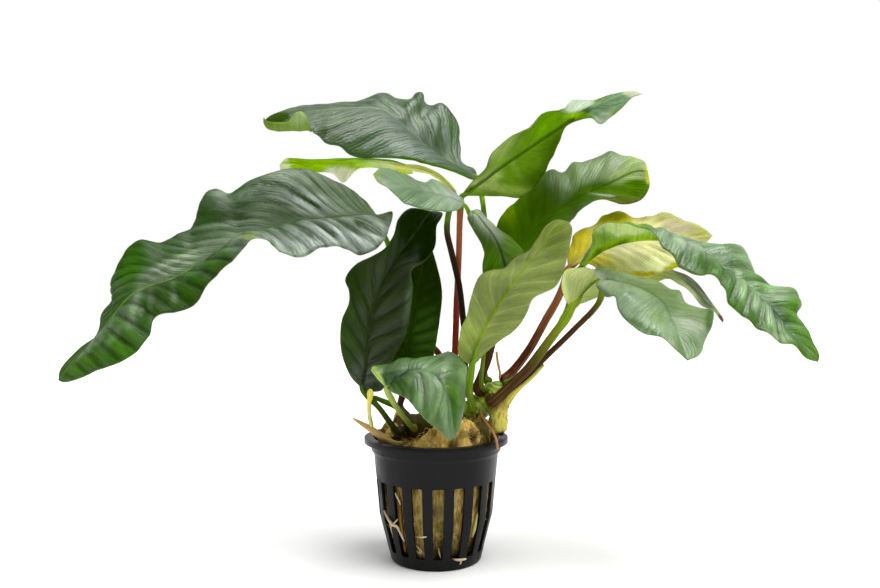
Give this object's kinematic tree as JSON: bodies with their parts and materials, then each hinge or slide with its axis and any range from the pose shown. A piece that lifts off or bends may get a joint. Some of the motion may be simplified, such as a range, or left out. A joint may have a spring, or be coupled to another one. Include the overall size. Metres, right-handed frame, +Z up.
{
  "type": "potted aquarium plant",
  "caption": "Broad-leaved water plant whose long stalked leaves arch from a creeping rhizome on a rockwool plug in a slotted net pot.",
  "frame": {"origin": "bottom centre of the pot, on its flat underside", "axes": "+Z up; the plant's front faces -Y, and its long drooping leaf reaches to -X"},
  "size_m": [0.2556, 0.1091, 0.1831],
  "materials": {
    "pot_plastic": "black moulded plastic with a soft sheen",
    "rockwool": "matted tan mineral fibre, dull",
    "rhizome_green": "smooth waxy green, satin",
    "leaf_grey_green": "waxy grey-green leaf, semi-gloss",
    "leaf_mid_green": "waxy mid-green leaf, semi-gloss",
    "leaf_dark_green": "waxy dark-green leaf, semi-gloss",
    "leaf_bright_green": "bright-green leaf, satin underside",
    "leaf_pale_green": "pale leaf underside, dull satin",
    "leaf_wilted_yellow": "wilted yellow leaf, satin",
    "stalk_brown": "red-brown stalk, satin",
    "stalk_dark": "dark brown-green stalk, satin",
    "stalk_green": "green stalk, satin",
    "root_tan": "pale tan root, dull",
    "root_red": "red-brown root, dull"
  },
  "bodies": {
    "root": {"net_pot": "pot_plastic", "rockwool_plug": "rockwool", "rhizome": "rhizome_green", "rhizome_branch": "rhizome_green", "leaf_upper_left": "leaf_grey_green", "leaf_long_left": "leaf_grey_green", "leaf_back_left": "leaf_bright_green", "leaf_small_left": "leaf_grey_green", "leaf_small_right": "leaf_mid_green", "leaf_upper_right": "leaf_bright_green", "leaf_high_right": "leaf_mid_green", "leaf_front_upright": "leaf_pale_green", "leaf_dark_centre": "leaf_dark_green", "leaf_dark_behind": "leaf_dark_green", "leaf_front_low": "leaf_mid_green", "leaf_yellow": "leaf_wilted_yellow", "leaf_long_right": "leaf_mid_green", "leaf_front_right": "leaf_grey_green", "leaf_pale_right": "leaf_pale_green", "stalk_leaf_upper_left": "stalk_green", "stalk_leaf_long_left": "stalk_brown", "stalk_leaf_back_left": "stalk_dark", "stalk_leaf_small_left": "stalk_green", "stalk_leaf_small_right": "stalk_green", "stalk_leaf_upper_right": "stalk_brown", "stalk_leaf_high_right": "stalk_dark", "stalk_leaf_front_upright": "stalk_green", "stalk_leaf_dark_centre": "stalk_green", "stalk_leaf_dark_behind": "stalk_brown", "stalk_leaf_front_low": "stalk_green", "stalk_leaf_yellow": "stalk_brown", "stalk_leaf_long_right": "stalk_green", "stalk_leaf_front_right": "stalk_dark", "stalk_leaf_pale_right": "stalk_dark", "stalk_bare_left": "stalk_dark", "shoot_young_left": "stalk_green", "shoot_young_right": "stalk_green", "root_over_rim_left": "root_tan", "root_over_rim_right": "root_red", "root_thread": "root_tan"}
  },
  "joints": []
}
